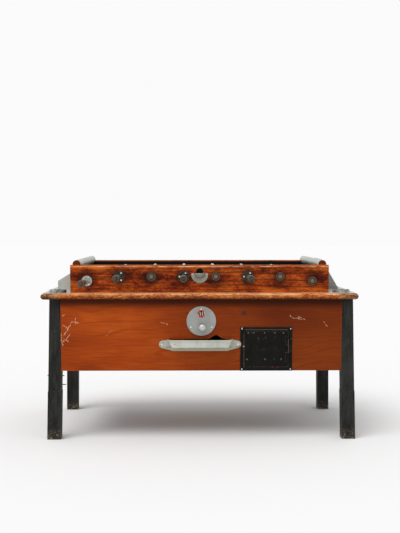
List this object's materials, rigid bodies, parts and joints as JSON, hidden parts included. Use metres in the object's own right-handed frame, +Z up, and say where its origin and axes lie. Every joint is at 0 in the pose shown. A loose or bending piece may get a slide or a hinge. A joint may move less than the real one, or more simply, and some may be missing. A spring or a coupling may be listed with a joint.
{
  "type": "table football table",
  "caption": "Coin-operated table football table: wooden cabinet on splayed legs, telescopic player rods, ball tray, coin plate with push knob, cash door.",
  "frame": {"origin": "on the floor under the middle of the table", "axes": "+X to the right of the front players along the table, +Y to the rear, +Z up"},
  "size_m": [1.466, 1.32, 0.8395],
  "materials": {
    "slab_wood": "varnished, worn",
    "field_green": "matt",
    "rail_wood": "dark varnish, mottled",
    "apron_wood": "varnished veneer",
    "plain_wood": "bare",
    "handle_wood": "worn varnish",
    "black_paint": "worn black enamel",
    "satin_metal": "satin",
    "sheet_metal": "dull sheet",
    "cast_metal": "cast, worn",
    "dark_bush": "dark, worn",
    "steel": "bright",
    "red_enamel": "gloss",
    "box_paint": "flat",
    "figure_red": "chipped",
    "figure_blue": "chipped"
  },
  "bodies": {
    "cabinet": {"table_slab": "slab_wood", "playfield": "field_green", "front_rail": "rail_wood", "rear_rail": "rail_wood", "end_walls": "rail_wood", "goal_hoods": "sheet_metal", "end_sheets": "sheet_metal", "front_apron": "apron_wood", "rear_apron": "apron_wood", "end_aprons": "apron_wood", "ball_ramp": "plain_wood", "front_legs": "black_paint", "rear_legs": "black_paint", "coin_plate": "satin_metal", "coin_slot_ring": "red_enamel", "coin_chute": "sheet_metal", "ball_tray": "cast_metal", "ball_cup": "cast_metal", "door_frame": "black_paint", "rod_bushes": "dark_bush", "screws": "steel", "ashtrays": "cast_metal", "cash_box": "box_paint"},
    "push_knob": {"coin_knob": "satin_metal"},
    "gate": {"ball_gate": "sheet_metal"},
    "door": {"cash_door": "black_paint"},
    "door_lock": {"door_lock": "satin_metal"},
    "panel_lock": {"apron_lock": "satin_metal"},
    "inner_rod_1": {"inner_rod_1": "steel"},
    "rod_1": {"tube_1": "steel", "figures_1": "figure_red", "handle_1": "handle_wood"},
    "inner_rod_2": {"inner_rod_2": "steel"},
    "rod_2": {"tube_2": "steel", "figures_2": "figure_red", "handle_2": "handle_wood"},
    "inner_rod_3": {"inner_rod_3": "steel"},
    "rod_3": {"tube_3": "steel", "figures_3": "figure_blue", "handle_3": "handle_wood"},
    "inner_rod_4": {"inner_rod_4": "steel"},
    "rod_4": {"tube_4": "steel", "figures_4": "figure_red", "handle_4": "handle_wood"},
    "inner_rod_5": {"inner_rod_5": "steel"},
    "rod_5": {"tube_5": "steel", "figures_5": "figure_blue", "handle_5": "handle_wood"},
    "inner_rod_6": {"inner_rod_6": "steel"},
    "rod_6": {"tube_6": "steel", "figures_6": "figure_red", "handle_6": "handle_wood"},
    "inner_rod_7": {"inner_rod_7": "steel"},
    "rod_7": {"tube_7": "steel", "figures_7": "figure_blue", "handle_7": "handle_wood"},
    "inner_rod_8": {"inner_rod_8": "steel"},
    "rod_8": {"tube_8": "steel", "figures_8": "figure_blue", "handle_8": "handle_wood"}
  },
  "joints": [
    {"name": "rod_1_spin", "type": "hinge", "parent": "cabinet", "child": "inner_rod_1", "pos_m": [-0.525, 0, 0.743], "axis": [0, 1, 0], "continuous": true},
    {"name": "rod_1_slide", "type": "slide", "parent": "inner_rod_1", "child": "rod_1", "axis": [0, 1, 0], "range_m": [-0.09, 0.09]},
    {"name": "rod_2_spin", "type": "hinge", "parent": "cabinet", "child": "inner_rod_2", "pos_m": [-0.375, 0, 0.763], "axis": [0, 1, 0], "continuous": true},
    {"name": "rod_2_slide", "type": "slide", "parent": "inner_rod_2", "child": "rod_2", "axis": [0, 1, 0], "range_m": [-0.105, 0.105]},
    {"name": "rod_3_spin", "type": "hinge", "parent": "cabinet", "child": "inner_rod_3", "pos_m": [-0.225, 0, 0.763], "axis": [0, 1, 0], "continuous": true},
    {"name": "rod_3_slide", "type": "slide", "parent": "inner_rod_3", "child": "rod_3", "axis": [0, 1, 0], "range_m": [-0.12, 0.12]},
    {"name": "rod_4_spin", "type": "hinge", "parent": "cabinet", "child": "inner_rod_4", "pos_m": [-0.075, 0, 0.763], "axis": [0, 1, 0], "continuous": true},
    {"name": "rod_4_slide", "type": "slide", "parent": "inner_rod_4", "child": "rod_4", "axis": [0, 1, 0], "range_m": [-0.09, 0.09]},
    {"name": "rod_5_spin", "type": "hinge", "parent": "cabinet", "child": "inner_rod_5", "pos_m": [0.075, 0, 0.763], "axis": [0, 1, 0], "continuous": true},
    {"name": "rod_5_slide", "type": "slide", "parent": "inner_rod_5", "child": "rod_5", "axis": [0, 1, 0], "range_m": [-0.09, 0.09]},
    {"name": "rod_6_spin", "type": "hinge", "parent": "cabinet", "child": "inner_rod_6", "pos_m": [0.225, 0, 0.763], "axis": [0, 1, 0], "continuous": true},
    {"name": "rod_6_slide", "type": "slide", "parent": "inner_rod_6", "child": "rod_6", "axis": [0, 1, 0], "range_m": [-0.12, 0.12]},
    {"name": "rod_7_spin", "type": "hinge", "parent": "cabinet", "child": "inner_rod_7", "pos_m": [0.375, 0, 0.763], "axis": [0, 1, 0], "continuous": true},
    {"name": "rod_7_slide", "type": "slide", "parent": "inner_rod_7", "child": "rod_7", "axis": [0, 1, 0], "range_m": [-0.105, 0.105]},
    {"name": "rod_8_spin", "type": "hinge", "parent": "cabinet", "child": "inner_rod_8", "pos_m": [0.525, 0, 0.743], "axis": [0, 1, 0], "continuous": true},
    {"name": "rod_8_slide", "type": "slide", "parent": "inner_rod_8", "child": "rod_8", "axis": [0, 1, 0], "range_m": [-0.09, 0.09]},
    {"name": "push_knob_press", "type": "slide", "parent": "cabinet", "child": "push_knob", "axis": [0, 1, 0], "range_m": [0, 0.018], "stiffness_N_per_m": 300},
    {"name": "ball_gate_swing", "type": "hinge", "parent": "cabinet", "child": "gate", "pos_m": [0.025, -0.33, 0.504], "axis": [1, 0, 0], "range_deg": [-46, 0]},
    {"name": "cash_door_swing", "type": "hinge", "parent": "cabinet", "child": "door", "pos_m": [0.4135, -0.4215, 0.427], "axis": [0, 0, 1], "range_deg": [0, 110]},
    {"name": "door_lock_turn", "type": "hinge", "parent": "door", "child": "door_lock", "pos_m": [0.2245, -0.415, 0.437], "axis": [0, 1, 0], "range_deg": [-90, 0]},
    {"name": "panel_lock_turn", "type": "hinge", "parent": "cabinet", "child": "panel_lock", "pos_m": [0.205, -0.415, 0.595], "axis": [0, 1, 0], "range_deg": [-90, 0]}
  ],
  "couplings": [
    {"joint": "ball_gate_swing", "follows": "push_knob_press", "rad_per_m": -43.6}
  ]
}
